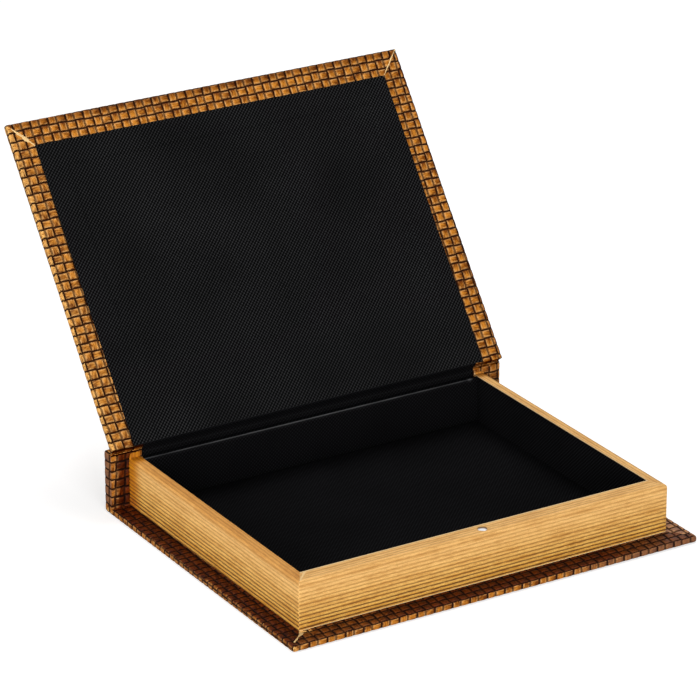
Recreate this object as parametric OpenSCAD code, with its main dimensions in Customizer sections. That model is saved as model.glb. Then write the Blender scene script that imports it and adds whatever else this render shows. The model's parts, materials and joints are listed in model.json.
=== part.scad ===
// Keepsake box in the shape of a bound book.
// A base cover and a flat spine carry a shallow tray dressed as a block of page edges.
// The lid is the book's upper cover. It turns on the flexible joint at the top of the spine
// and is drawn here open, leaning back on that joint.
// X runs along the spine, Y from the front edge to the spine, Z up from the underside.

/* [Tray] */
// Length of the tray along the spine
tray_len = 240; // [160:1:340]
// Depth of the tray from its front face to the spine
tray_dep = 188; // [120:1:260]
// Height of the tray above the base cover
tray_h = 29; // [18:0.5:80]
// Thickness of the left and right walls
side_wall_t = 6; // [4:0.5:10]
// Thickness of the front wall, which holds the magnet
front_wall_t = 9.5; // [9:0.5:16]
// Thickness of the back wall
back_wall_t = 4; // [3:0.5:8]

/* [Page edges] */
// Thickness of the ribbed paper over the ribs
page_t = 0.6; // [0.5:0.05:0.9]
// Mean spacing of the ribs
rib_pitch = 2.25; // [1.4:0.05:4]
// Height of the front paper's first groove above the base cover
first_groove_front = 1.3; // [0.8:0.1:3]
// Height of the side papers' first groove above the base cover
first_groove_side = 2.6; // [0.8:0.1:3]
// Depth of the grooves between the ribs
rib_depth = 0.3; // [0.1:0.05:0.35]
// Width of a groove
groove_w = 0.5; // [0.2:0.1:0.6]
// How far the ribs stray from even spacing, as a share of the spacing
rib_wander = 0.25; // [0:0.05:0.3]
// Depth of the grooves on the top edge, as a share of those on the sides
top_rib_share = 0.4; // [0.1:0.1:1]
// Radius that the paper rolls over the top outer edge
edge_roll = 2.2; // [1.2:0.1:3]

/* [Covers] */
// Thickness of the two cover boards
cover_board_t = 2.5; // [1.5:0.1:4]
// Thickness of the leatherette
wrap_t = 0.8; // [0.5:0.1:1.2]
// Radius of the covered board edges
cover_round = 1.4; // [0.8:0.1:2]
// How far the covers stand past the tray at each end
side_square = 11.5; // [6:0.5:16]
// How far the covers stand past the tray at the front
front_square = 13.5; // [6:0.5:20]
// Width of the leatherette turned in over the base board
base_turn_in = 20; // [12:1:40]
// Width of the leatherette turned in over the lid board
lid_turn_in = 30; // [20:1:50]
// Side of the square bit that cuts the fine seam where two turned-in edges meet
seam_w = 0.4; // [0.2:0.1:0.5]

/* [Spine and joint] */
// Thickness of the spine board
spine_board_t = 7; // [3:0.5:12]
// Width of the leatherette turned in at the ends of the spine and joint
end_turn_in = 20.5; // [14:0.5:40]
// Distance of the fold line in front of the spine
fold_inset = 0.4; // [0.2:0.1:1.2]
// Width of the joint between the fold line and the lid
joint_gap = 3; // [2:0.1:6]
// How far the lid opens
open_angle = 127.5; // [90:0.5:132]
// Clearance between the closed lid and the tray
lid_clear = 0.3; // [0.2:0.1:1]

/* [Linings] */
// Thickness of the black cloth
cloth_t = 0.4; // [0.2:0.1:0.6]
// Leatherette left showing at the sides of the lid's lining
lining_side_margin = 13.8; // [8:0.2:18]
// Leatherette left showing at the front of the lid's lining
lining_front_margin = 15.4; // [8:0.2:18]
// Free fit around the cards laid between turned-in edges
card_fit = 0.2; // [0.1:0.05:0.5]
// How much thinner the lid's card is than the leatherette round it
card_step = 0.2; // [0.1:0.05:0.4]

/* [Magnets] */
// Diameter of the two magnet discs
magnet_d = 6; // [4:0.5:7]
// Thickness of the magnet in the front wall
magnet_t = 3; // [1:0.5:4]
// Thickness of the magnet in the lid board
lid_magnet_t = 1; // [0.5:0.1:1.2]
// Free fit around a magnet in its hole
magnet_fit = 0.1; // [0.05:0.05:0.2]
// Width of wood left bare around the magnet by the hole in the paper
paper_hole_ring = 0.6; // [0.3:0.1:1]

/* [Hidden] */
$fn = 48;

leatherette = [0.55, 0.33, 0.14];
greyboard = [0.62, 0.58, 0.52];
fibreboard = [0.70, 0.56, 0.38];
page_paper = [0.83, 0.62, 0.33];
black_cloth = [0.06, 0.06, 0.07];
nickel = [0.78, 0.78, 0.80];

// Reach of a cutter past the face that it cuts
past = 1;

// Along X, from the middle
half_len = tray_len / 2;
cover_half = half_len + side_square;
side_total = page_t + side_wall_t + cloth_t;
wall_in = half_len - page_t - side_wall_t;
clear_in = wall_in - cloth_t;
card_half = cover_half - end_turn_in - card_fit;

// Along Y
cover_t = wrap_t + cover_board_t + wrap_t;
spine_t = wrap_t + spine_board_t + wrap_t;
cover_front = -(front_square + tray_dep + spine_t) / 2;
tray_front = cover_front + front_square;
front_total = page_t + front_wall_t + cloth_t;
front_wall_in = tray_front + page_t + front_wall_t;
spine_in = tray_front + tray_dep;
spine_out = spine_in + spine_t;
board_in = spine_in + wrap_t;
back_wall_in = spine_in - back_wall_t;
magnet_y = tray_front + front_total / 2;

// Along Z, with the lid's values given for the closed lid. least_flat stays flat between rounded edges
tray_top = cover_t + tray_h;
wall_top = tray_top - page_t;
lid_in = tray_top + lid_clear + cloth_t;
lid_out = lid_in + cover_t;
least_flat = 0.1;
cover_r = min(cover_round, (cover_t - least_flat) / 2);

// Seams where turned-in edges meet: their runs in X and Y from a front corner to the turn-in's inner edge.
// Those of the lid point at its lining's corners
base_seam = [base_turn_in, base_turn_in];
lid_margins = [lining_side_margin, lining_front_margin];
lid_seam = lid_margins * lid_turn_in / max(lid_margins);

// Fold line of the joint, halfway through the leatherette
fold_y = spine_in - fold_inset;
fold_z = lid_out - wrap_t / 2;
lid_back = fold_y - joint_gap;
lid_board_back = lid_back - cloth_t;
riser_top = fold_z - wrap_t / 2 - cloth_t - lid_clear;

// Shared shapes

// Box given by its two corners
module block(low, high) {
    translate(low)
        cube(high - low);
}

// Rectangle from low to high with round corners
module round_rect(low, high, r) {
    size = high - low;
    translate(low) {
        translate([r, 0])
            square([size[0] - 2 * r, size[1]]);
        translate([0, r])
            square([size[0], size[1] - 2 * r]);
        for (x = [r, size[0] - r], y = [r, size[1] - r])
            translate([x, y])
                circle(r);
    }
}

// A YZ outline drawn out along X between two places
module along_x(x0, x1) {
    translate([x0, 0, 0])
        rotate([90, 0, 90])
            linear_extrude(x1 - x0)
                children();
}

// An XZ outline drawn out along Y between two places
module along_y(y0, y1) {
    translate([0, y1, 0])
        rotate([90, 0, 0])
            linear_extrude(y1 - y0)
                children();
}

// Cover slab with round edges at the front and both ends, cut square at the back
module cover_slab(z0, y_back) {
    intersection() {
        along_x(-cover_half, cover_half)
            round_rect([cover_front, z0], [y_back + 2 * cover_r, z0 + cover_t], cover_r);
        along_y(cover_front, y_back)
            round_rect([-cover_half, z0], [cover_half, z0 + cover_t], cover_r);
    }
}

// Fine seam cut into the face at height z, from a front corner inwards along the given run in X and Y
module mitre_seam(z, side, run) {
    turn = atan2(run[1], run[0]);
    translate([side * cover_half, cover_front, z])
        rotate([0, 0, side < 0 ? turn : 180 - turn])
            translate([cover_r, 0, -seam_w / sqrt(2)])
                rotate([45, 0, 0])
                    cube([norm(run), seam_w, seam_w]);
}

// Case: boards, cards and leatherette

module base_board() {
    color(greyboard)
        block([-cover_half + wrap_t, cover_front + wrap_t, wrap_t],
            [cover_half - wrap_t, board_in, wrap_t + cover_board_t]);
}

module base_wrap() {
    color(leatherette)
        difference() {
            cover_slab(0, board_in);
            block([-cover_half + wrap_t, cover_front + wrap_t, wrap_t],
                [cover_half - wrap_t, board_in + past, wrap_t + cover_board_t]);
            block([-cover_half + base_turn_in, cover_front + base_turn_in, wrap_t + cover_board_t / 2],
                [cover_half - base_turn_in, board_in + past, cover_t + past]);
            for (side = [-1, 1])
                mitre_seam(cover_t, side, base_seam);
        }
}

module floor_card() {
    around = base_turn_in + card_fit;
    color(greyboard)
        block([-cover_half + around, cover_front + around, cover_t - wrap_t],
            [cover_half - around, board_in, cover_t]);
}

module spine_board() {
    color(greyboard)
        block([-cover_half + wrap_t, board_in, wrap_t],
            [cover_half - wrap_t, spine_out - wrap_t, lid_out - wrap_t]);
}

module spine_card() {
    color(greyboard)
        block([-card_half, spine_in, cover_t], [card_half, board_in, riser_top]);
}

module spine_wrap() {
    wide = cover_half + past;
    color(leatherette)
        difference() {
            intersection() {
                along_x(-cover_half, cover_half)
                    round_rect([spine_in - 2 * cover_r, 0], [spine_out, lid_out], cover_r);
                along_y(spine_in, spine_out)
                    round_rect([-cover_half, 0], [cover_half, lid_out], cover_r);
                linear_extrude(lid_out)
                    round_rect([-cover_half, spine_in - 2 * cover_r], [cover_half, spine_out], cover_r);
            }
            block([-cover_half + wrap_t, board_in, wrap_t],
                [cover_half - wrap_t, spine_out - wrap_t, lid_out - wrap_t]);
            block([-cover_half + end_turn_in, spine_in - past, -past],
                [cover_half - end_turn_in, board_in, lid_out + past]);
            block([-wide, spine_in - past, -past], [wide, board_in, cover_t]);
            block([-wide, spine_in - past, riser_top], [wide, board_in, lid_out + past]);
        }
}

// Tray: wooden walls whose outer top edges are rounded for the paper to roll over

// Quarter round of radius r about the roll's centre, from the side up to the top, as [u, z] points
function quarter_round(r, steps = 8) =
    [for (i = [0:steps])
        let (a = 90 * i / steps)
        [edge_roll - r * cos(a), tray_top - edge_roll + r * sin(a)]];

function backwards(points) = [for (i = [len(points) - 1:-1:0]) points[i]];

// Outline of the tray block sunk by d from the paper's crests: u inwards from the face, z up
module smooth_section(d, reach) {
    polygon(concat(
        [[d, cover_t]],
        quarter_round(edge_roll - d),
        [[reach, tray_top - d], [reach, cover_t]]
    ));
}

// An outline in u and z drawn out along one side of the tray
module on_front() {
    translate([0, tray_front, 0])
        along_x(-half_len, half_len)
            children();
}

module on_left() {
    translate([-half_len, 0, 0])
        along_y(tray_front, spine_in)
            children();
}

module on_right() {
    mirror([1, 0, 0])
        on_left()
            children();
}

// The wood under the paper, filled in across the tray
module core_block() {
    intersection() {
        on_front()
            smooth_section(page_t, tray_dep);
        on_left()
            smooth_section(page_t, tray_len);
        on_right()
            smooth_section(page_t, tray_len);
    }
}

module front_wall() {
    color(fibreboard)
        difference() {
            intersection() {
                core_block();
                block([-half_len, tray_front, cover_t], [half_len, front_wall_in, tray_top]);
            }
            translate([0, magnet_y, wall_top - magnet_t])
                cylinder(d = magnet_d + 2 * magnet_fit, h = magnet_t + past);
        }
}

module side_wall() {
    intersection() {
        core_block();
        block([-half_len, front_wall_in, cover_t], [-wall_in, spine_in, tray_top]);
    }
}

module left_wall() {
    color(fibreboard)
        side_wall();
}

module right_wall() {
    color(fibreboard)
        mirror([1, 0, 0])
            side_wall();
}

module back_wall() {
    color(fibreboard)
        block([-wall_in, back_wall_in, cover_t], [wall_in, spine_in, wall_top]);
}

// Page edges: paper pressed into uneven ribs, rolled over the walls and mitred at the corners

// The ribbed face follows a path: up the side, round the roll and in across the top
side_run = tray_h - edge_roll;
roll_run = edge_roll * PI / 2;

// Point at distance s along the path, sunk into the paper by d
function page_point(s, d) =
    let (a = (s - side_run) / roll_run * 90)
    a < 0 ? [d, cover_t + s]
    : a < 90 ? [edge_roll - (edge_roll - d) * cos(a), tray_top - edge_roll + (edge_roll - d) * sin(a)]
    : [edge_roll + s - side_run - roll_run, tray_top - d];

// Steps of angle that make the grooves' spacing and depth uneven in a way that repeats
wander_step = 137.5;
depth_step = 61;
depth_spread = 0.25;

// Where groove i lies on the path, counted from the first one
function groove_at(i, first) = first + rib_pitch * (i + rib_wander * sin(i * wander_step));

// Depth of the groove at s, less once the paper has turned onto the top
function groove_depth(s) =
    rib_depth * (1 - depth_spread + depth_spread * sin(s * depth_step))
    * (s > side_run + roll_run / 2 ? top_rib_share : 1);

// The ribbed face, in to a given reach from the tray's face
function ribbed_face(reach, first) =
    let (
        full = side_run + roll_run + reach - edge_roll,
        last = floor((full - first) / rib_pitch - 1),
        half = groove_w / 2
    )
    concat(
        [page_point(0, 0)],
        [for (i = [0:last])
            let (s = groove_at(i, first))
            each [page_point(s - half, 0), page_point(s, groove_depth(s)), page_point(s + half, 0)]],
        [[reach, tray_top]]
    );

module page_section(reach, first) {
    polygon(concat(
        ribbed_face(reach, first),
        [[reach, wall_top]],
        backwards(quarter_round(edge_roll - page_t)),
        [[page_t, cover_t]]
    ));
}

// Upright prism over a plan outline, as tall as the tray
module over_plan(points) {
    translate([0, 0, cover_t - past])
        linear_extrude(tray_h + 2 * past)
            polygon(points);
}

module front_page_edge() {
    mitre_in = tray_front + front_total;
    color(page_paper)
        difference() {
            intersection() {
                on_front()
                    page_section(front_total, first_groove_front);
                on_left()
                    smooth_section(0, tray_len);
                on_right()
                    smooth_section(0, tray_len);
                over_plan([[-half_len, tray_front], [half_len, tray_front],
                    [half_len - side_total, mitre_in], [-half_len + side_total, mitre_in]]);
            }
            translate([0, magnet_y, wall_top - past])
                cylinder(d = magnet_d + 2 * paper_hole_ring, h = page_t + 2 * past);
        }
}

module side_page_edge() {
    mitre_in = tray_front + front_total;
    intersection() {
        on_left()
            page_section(side_total, first_groove_side);
        on_front()
            smooth_section(0, tray_dep);
        over_plan([[-half_len, tray_front], [-half_len + side_total, mitre_in],
            [-half_len + side_total, spine_in], [-half_len, spine_in]]);
    }
}

module left_page_edge() {
    color(page_paper)
        side_page_edge();
}

module right_page_edge() {
    color(page_paper)
        mirror([1, 0, 0])
            side_page_edge();
}

// Linings and the cloth side of the joint

module floor_lining() {
    color(black_cloth)
        block([-wall_in, front_wall_in, cover_t], [wall_in, back_wall_in, cover_t + cloth_t]);
}

module front_lining() {
    color(black_cloth)
        block([-wall_in, front_wall_in, cover_t + cloth_t], [wall_in, front_wall_in + cloth_t, wall_top]);
}

module side_lining(side) {
    low_x = side < 0 ? -wall_in : clear_in;
    color(black_cloth)
        block([low_x, front_wall_in + cloth_t, cover_t + cloth_t],
            [low_x + cloth_t, back_wall_in, wall_top]);
}

module left_lining() {
    side_lining(-1);
}

module right_lining() {
    side_lining(1);
}

// Cloth down the back wall, over its top and up the spine to the joint
module hinge_cloth() {
    riser_half = min(card_half, clear_in);
    cloth_in = back_wall_in - cloth_t;
    color(black_cloth)
        union() {
            block([-clear_in, cloth_in, cover_t + cloth_t], [clear_in, back_wall_in, wall_top]);
            block([-clear_in, cloth_in, wall_top], [clear_in, spine_in, wall_top + cloth_t]);
            block([-riser_half, spine_in - cloth_t, wall_top], [riser_half, spine_in, riser_top]);
        }
}

module front_magnet() {
    color(nickel)
        translate([0, magnet_y, wall_top - magnet_t])
            cylinder(d = magnet_d, h = magnet_t);
}

// Lid: each piece is drawn closed and then swung open about the fold line

module swung_open() {
    translate([0, fold_y, fold_z])
        rotate([-open_angle, 0, 0])
            translate([0, -fold_y, -fold_z])
                children();
}

module lid_board() {
    board_z = lid_in + wrap_t;
    color(greyboard)
        swung_open()
            difference() {
                block([-cover_half + wrap_t, cover_front + wrap_t, board_z],
                    [cover_half - wrap_t, lid_board_back, board_z + cover_board_t]);
                translate([0, magnet_y, board_z - past])
                    cylinder(d = magnet_d + 2 * magnet_fit, h = lid_magnet_t + past);
            }
}

module lid_wrap() {
    board_z = lid_in + wrap_t;
    color(leatherette)
        swung_open() {
            difference() {
                cover_slab(lid_in, lid_board_back);
                block([-cover_half + wrap_t, cover_front + wrap_t, board_z],
                    [cover_half - wrap_t, lid_board_back + past, board_z + cover_board_t]);
                block([-cover_half + lid_turn_in, cover_front + lid_turn_in, lid_in - past],
                    [cover_half - lid_turn_in, lid_board_back + past, board_z + cover_board_t / 2]);
                for (side = [-1, 1])
                    mitre_seam(lid_in, side, lid_seam);
            }
            joint_leaf();
        }
}

// The leatherette of the joint, from the lid board to the fold line, and its turned-in ends
module joint_leaf() {
    edge_in = cover_half - end_turn_in;
    block([-cover_half, lid_board_back, lid_out - wrap_t], [cover_half, fold_y, lid_out]);
    translate([-cover_half, fold_y, fold_z])
        rotate([0, 90, 0])
            cylinder(d = wrap_t, h = 2 * cover_half);
    for (side = [-1, 1]) {
        low_x = side < 0 ? -cover_half : edge_in;
        block([low_x, lid_board_back, lid_in],
            [low_x + end_turn_in, lid_board_back + wrap_t, lid_out - wrap_t]);
        block([low_x, lid_board_back + wrap_t, lid_out - 2 * wrap_t],
            [low_x + end_turn_in, fold_y - wrap_t, lid_out - wrap_t]);
    }
}

module lid_card() {
    around = lid_turn_in + card_fit;
    color(greyboard)
        swung_open()
            block([-cover_half + around, cover_front + around, lid_in + card_step],
                [cover_half - around, lid_board_back, lid_in + wrap_t]);
}

module lid_lining() {
    lining_half = cover_half - lining_side_margin;
    color(black_cloth)
        swung_open() {
            block([-lining_half, cover_front + lining_front_margin, lid_in - cloth_t],
                [lining_half, lid_board_back, lid_in]);
            block([-card_half, lid_board_back, lid_in - cloth_t], [card_half, lid_back, lid_out - wrap_t]);
            block([-card_half, lid_back, lid_out - wrap_t - cloth_t],
                [card_half, fold_y - wrap_t, lid_out - wrap_t]);
        }
}

module lid_magnet() {
    color(nickel)
        swung_open()
            translate([0, magnet_y, lid_in + wrap_t])
                cylinder(d = magnet_d, h = lid_magnet_t);
}

base_board();
base_wrap();
spine_board();
spine_card();
spine_wrap();
floor_card();
front_wall();
back_wall();
left_wall();
right_wall();
front_page_edge();
left_page_edge();
right_page_edge();
floor_lining();
front_lining();
left_lining();
right_lining();
hinge_cloth();
front_magnet();
lid_board();
lid_card();
lid_wrap();
lid_lining();
lid_magnet();
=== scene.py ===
import bmesh
import bpy
import json
import numpy as np
from mathutils import Matrix, Quaternion, Vector


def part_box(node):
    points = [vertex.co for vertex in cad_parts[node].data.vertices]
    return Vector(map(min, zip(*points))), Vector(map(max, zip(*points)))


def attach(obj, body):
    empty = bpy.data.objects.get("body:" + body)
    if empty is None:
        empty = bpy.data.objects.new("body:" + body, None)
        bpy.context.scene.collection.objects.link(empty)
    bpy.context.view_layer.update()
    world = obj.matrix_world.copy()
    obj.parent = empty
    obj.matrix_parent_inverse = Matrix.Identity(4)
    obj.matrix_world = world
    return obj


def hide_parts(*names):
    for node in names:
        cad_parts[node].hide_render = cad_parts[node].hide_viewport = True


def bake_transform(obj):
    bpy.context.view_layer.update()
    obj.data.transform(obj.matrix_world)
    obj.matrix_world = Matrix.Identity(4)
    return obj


# Book box: leatherette covers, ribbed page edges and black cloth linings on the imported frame.
# Sizes in the dictionaries are millimetres, as is every array until makePiece turns it into metres.

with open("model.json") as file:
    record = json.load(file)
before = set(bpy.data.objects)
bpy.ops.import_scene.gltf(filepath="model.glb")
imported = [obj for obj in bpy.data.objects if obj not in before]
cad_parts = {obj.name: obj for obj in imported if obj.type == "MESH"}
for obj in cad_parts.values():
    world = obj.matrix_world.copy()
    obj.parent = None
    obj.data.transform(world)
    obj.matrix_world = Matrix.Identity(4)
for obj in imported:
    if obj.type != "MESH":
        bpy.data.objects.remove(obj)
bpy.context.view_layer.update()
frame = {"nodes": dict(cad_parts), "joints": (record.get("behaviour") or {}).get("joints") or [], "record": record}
print("frame loaded")


def corners(node):
    low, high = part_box(node)
    return np.array(low) * 1000, np.array(high) * 1000


# What the pieces are fitted to, read from the frame
baseLow, baseHigh = corners("base_wrap")
spineLow, spineHigh = corners("spine_wrap")
frontLow, frontHigh = corners("front_page_edge")
leftLow, leftHigh = corners("left_page_edge")
wallLow, wallHigh = corners("back_wall")
panelLow, panelHigh = corners("lid_lining")
magnetLow, magnetHigh = corners("front_magnet")
clothHigh = corners("hinge_cloth")[1]
floorTop = corners("floor_lining")[1][2]

coverHalf, coverFront, coverT = baseHigh[0], baseLow[1], baseHigh[2]
spineIn, spineOut, lidOut = spineLow[1], spineHigh[1], spineHigh[2]
spineT = spineOut - spineIn
lidIn = lidOut - coverT
halfLen, trayFront, trayTop = frontHigh[0], frontLow[1], frontHigh[2]
joint = frame["joints"][0]
foldY, foldZ = joint["pos_m"][1] * 1000, joint["pos_m"][2] * 1000
openAngle = np.radians(joint["range_deg"][1])

cover = {
    "backGap": 1.4,  # how far before the fold line the covered lid ends, on the closed lid
    "lip": 0.3,  # how far past the lid's back edge the joint's inner layers turn down
    "round": 1.1,  # radius of the covered board edges
    "endTurnIn": 20.0,  # leatherette shown beside the cloth, at the ends of the spine and joint
    "endless": 1e3,  # where a rounded block ends that goes on past the sheet
}
lidBack = foldY - cover["backGap"]


def spots(x, y, z):
    # rows of points from three coordinates, each an array or one number for all
    return np.stack(np.broadcast_arrays(x, y, z), -1).reshape(-1, 3)


def flatGrid(rows, columns):
    # both coordinates of every point of a grid
    return [grid.ravel() for grid in np.meshgrid(rows, columns, indexing="ij")]


def swing(points):
    # turn closed-lid points about the fold line to where the open lid is
    y, z = points[:, 1] - foldY, points[:, 2] - foldZ
    c, s = np.cos(openAngle), np.sin(openAngle)
    return spots(points[:, 0], foldY + y * c + z * s, foldZ - y * s + z * c)


def smooth(x, low, high):
    t = np.clip((x - low) / (high - low), 0, 1)
    return t * t * (3 - 2 * t)


def makePiece(name, points, faces, uv, material, body=None, nodes=(), weld=0.0, stainAndPaintedLight=None):
    # one mesh object from arrays: points in mm, of which unused ones are left out, quads as rows of four and
    # a uv pair for each point
    used, renumbered = np.unique(faces, return_inverse=True)
    faces = renumbered.reshape(faces.shape)
    mesh = bpy.data.meshes.new(name)
    mesh.vertices.add(len(used))
    mesh.vertices.foreach_set("co", (points[used] * 0.001).astype(np.float32).ravel())
    mesh.loops.add(faces.size)
    mesh.loops.foreach_set("vertex_index", faces.ravel().astype(np.int32))
    mesh.polygons.add(len(faces))
    mesh.polygons.foreach_set("loop_start", np.arange(0, faces.size, 4, dtype=np.int32))
    layer = mesh.uv_layers.new(name="sheet")
    layer.data.foreach_set("uv", uv[used][faces.ravel()].astype(np.float32).ravel())
    if stainAndPaintedLight is not None:
        layer = mesh.attributes.new("stainAndPaintedLight", "FLOAT", "POINT")
        layer.data.foreach_set("value", stainAndPaintedLight[used].astype(np.float32))
    mesh.update(calc_edges=True)
    if weld:
        work = bmesh.new()
        work.from_mesh(mesh)
        bmesh.ops.remove_doubles(work, verts=work.verts, dist=weld * 0.001)
        work.to_mesh(mesh)
        work.free()
    mesh.validate()
    mesh.polygons.foreach_set("use_smooth", np.ones(len(mesh.polygons), bool))
    piece = bpy.data.objects.new(name, mesh)
    bpy.context.scene.collection.objects.link(piece)
    mesh.materials.append(material)
    if body:
        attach(piece, body)
    if nodes:
        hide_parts(*nodes)
    return piece


def gridFaces(rows, columns):
    # quads of a grid whose points run along the columns first
    i = np.arange(rows - 1)[:, None] * columns + np.arange(columns - 1)[None, :]
    return np.stack([i, i + 1, i + columns + 1, i + columns], -1).reshape(-1, 4)


class Value:
    # a socket in a material's sums: Python's operators add the Math nodes
    def __init__(self, graph, socket):
        self.graph = graph
        self.socket = socket

    def op(self, operation, *others):
        return self.graph.sum(operation, self, *others)

    def __add__(self, other):
        return self.op("ADD", other)

    def __radd__(self, other):
        return self.op("ADD", other)

    def __sub__(self, other):
        return self.op("SUBTRACT", other)

    def __rsub__(self, other):
        return self.graph.sum("SUBTRACT", other, self)

    def __mul__(self, other):
        return self.op("MULTIPLY", other)

    def __truediv__(self, other):
        return self.op("DIVIDE", other)

    def __neg__(self):
        return 0.0 - self

    def __abs__(self):
        return self.op("ABSOLUTE")


class Graph:
    # the nodes of one new material or world
    def __init__(self, name, store=bpy.data.materials):
        self.owner = store.new(name)
        self.owner.use_nodes = True
        self.tree = self.owner.node_tree
        self.tree.nodes.clear()

    def add(self, kind, inputs={}, **settings):
        node = self.tree.nodes.new("ShaderNode" + kind)
        for key, value in settings.items():
            setattr(node, key, value)
        for key, value in inputs.items():
            if isinstance(value, Value):
                self.tree.links.new(value.socket, node.inputs[key])
            else:
                node.inputs[key].default_value = value
        return node

    def value(self, kind, inputs={}, key=0, **settings):
        return Value(self, self.add(kind, inputs, **settings).outputs[key])

    def sum(self, operation, *terms):
        return self.value("Math", dict(enumerate(terms)), operation=operation)

    def step(self, value, low, high):
        # smooth rise from 0 at low to 1 at high
        return self.value("MapRange", {"Value": value, "From Min": low, "From Max": high},
                          interpolation_type="SMOOTHSTEP")

    def blend(self, share, first, second, way="MIX"):
        # colour mix: first at share 0, second (or the two multiplied) at share 1
        return self.value("Mix", {0: share, 6: first, 7: second}, 2, data_type="RGBA", blend_type=way)

    def vector(self, x, y, z=0.0):
        return self.value("CombineXYZ", {0: x, 1: y, 2: z})

    def apart(self, place):
        node = self.add("SeparateXYZ", {0: place})
        return [Value(self, output) for output in node.outputs]

    def noise(self, place, detail=2.0, roughness=0.5, scale=1.0):
        return self.value("TexNoise", {"Vector": place, "Scale": scale, "Detail": detail,
                                       "Roughness": roughness})

    def random(self, place):
        return self.value("TexWhiteNoise", {"Vector": place}, "Value", noise_dimensions="3D")

    def sheet(self):
        # the piece's own uv map, as two values
        return self.apart(self.value("UVMap", uv_map="sheet"))[:2]

    def stainAndPaintedLight(self):
        # the amount of stain, wear and painted light and shade given to the piece's points
        return self.value("Attribute", key="Fac", attribute_name="stainAndPaintedLight")

    def objectPlace(self):
        return self.value("TexCoord", key="Object")

    def end(self, kind, surface):
        self.tree.links.new(surface.outputs[0], self.add(kind).inputs["Surface"])
        return self.owner

    def finish(self, colour, roughness, height, strength, distance, gloss=0.5, metal=0.0):
        # principled surface with a bump
        bump = self.value("Bump", {"Height": height, "Strength": strength, "Distance": distance})
        return self.end("OutputMaterial", self.add("BsdfPrincipled", {
            "Base Color": colour, "Roughness": roughness, "Specular IOR Level": gloss, "Metallic": metal,
            "Normal": bump}))


# Leatherette: a plain weave of flat strands, embossed and wiped with brown

weave = {
    "half": 0.43,  # half width of a strand, in cells
    "arch": 0.46,  # how far a strand drops towards its ends
    "shoulder": 0.26,  # how far it drops at its sides
    "flat": 0.3,  # half width of its flat middle, in cells
    "groove": 0.26,  # extra depth between strands
    "grooveHalf": 0.07,  # half width of the groove between them, in cells
    "hole": 0.62,  # depth where four strands meet
    "edge": 0.35,  # share of the depths left round the boards' edges
    "beside": 0.465,  # where the gap beside a strand lies, in cells from its middle
    "beyond": 0.535,  # and the gap past its end
    "weld": 0.06,  # how near points are joined
    "smallest": 1e-4,  # area below which a quad is left out
    "lines": (0.0, 0.06, 0.22, 0.5, 0.78, 0.94),  # grid lines in a cell
    "coarseLines": (0.0, 0.08, 0.5, 0.92),
    "fineLines": (0.0, 0.06, 0.14, 0.22, 0.32, 0.41, 0.5, 0.59, 0.68, 0.78, 0.86, 0.94),
}


def weaveAt(u, v, sheet):
    # weave coordinates, one unit a cell, of a place on the flat sheet: each set of lines slants by an amount
    # that grows evenly along the sheet, and the turned-in parts are pulled a little further by its "pull"
    (k0, k1), (m0, m1) = sheet["slant"]
    pullU, pullV = sheet["pull"](u, v)
    u, v = u - pullU, v - pullV
    a = (u + (k0 + k1 * u) * v) / sheet["pitch"][0] + sheet["phase"][0]
    b = (v + (m0 + m1 * v) * u) / sheet["pitch"][1] + sheet["phase"][1]
    return a, b


def sheetAt(a, b, sheet):
    # the flat sheet's place of weave coordinates, the other way round, closed in on in a few rounds
    (k0, k1), (m0, m1) = sheet["slant"]
    p = (a - sheet["phase"][0]) * sheet["pitch"][0]
    q = (b - sheet["phase"][1]) * sheet["pitch"][1]
    u, v = p, q
    for _ in range(8):
        u, v = (p - k0 * v) / (1 + k1 * v), (q - m0 * u) / (1 + m1 * u)
    bareU, bareV = u, v
    for _ in range(12):
        pullU, pullV = sheet["pull"](u, v)
        u, v = bareU + pullU, bareV + pullV
    return u, v


def weaveDepth(a, b):
    # depth below the strands' crowns: a strand arches along its length and its sides round off,
    # strands in even cells run one way and in odd cells the other, each reaching a little past its cell
    fa = a - np.floor(a) - 0.5
    fb = b - np.floor(b) - 0.5
    odd = (np.floor(a) + np.floor(b)) % 2 > 0.5
    across = np.abs(np.where(odd, fb, fa))
    along = np.abs(np.where(odd, fa, fb))
    own = across <= weave["half"]
    length = np.where(own, along, 1 - across)
    side = np.where(own, across, along)
    drop = weave["arch"] * (length / 0.5) ** 2.5
    rounded = np.clip((side - weave["flat"]) / (weave["half"] - weave["flat"]), 0, 1)
    drop = drop + weave["shoulder"] * rounded ** 1.5
    gap = np.minimum(np.abs(across - weave["beside"]), np.abs(along - weave["beyond"]))
    drop = drop + weave["groove"] * np.clip(1 - gap / weave["grooveHalf"], 0, 1)
    return np.where(side > weave["half"], weave["hole"], np.minimum(drop, weave["hole"]))


def weaveLines(low, high, lines):
    cells = np.arange(np.floor(low), np.ceil(high))
    return np.append((cells[:, None] + np.array(lines)[None, :]).ravel(), np.ceil(high))


def roundOff(points, low, high, radius):
    # a point of a sharp box moved onto the same box with round edges, and its outward direction
    inner = np.clip(points, low + radius, high - radius)
    out = points - inner
    out = out / np.maximum(np.linalg.norm(out, axis=1), 1e-9)[:, None]
    return inner + out * radius, out


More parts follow.
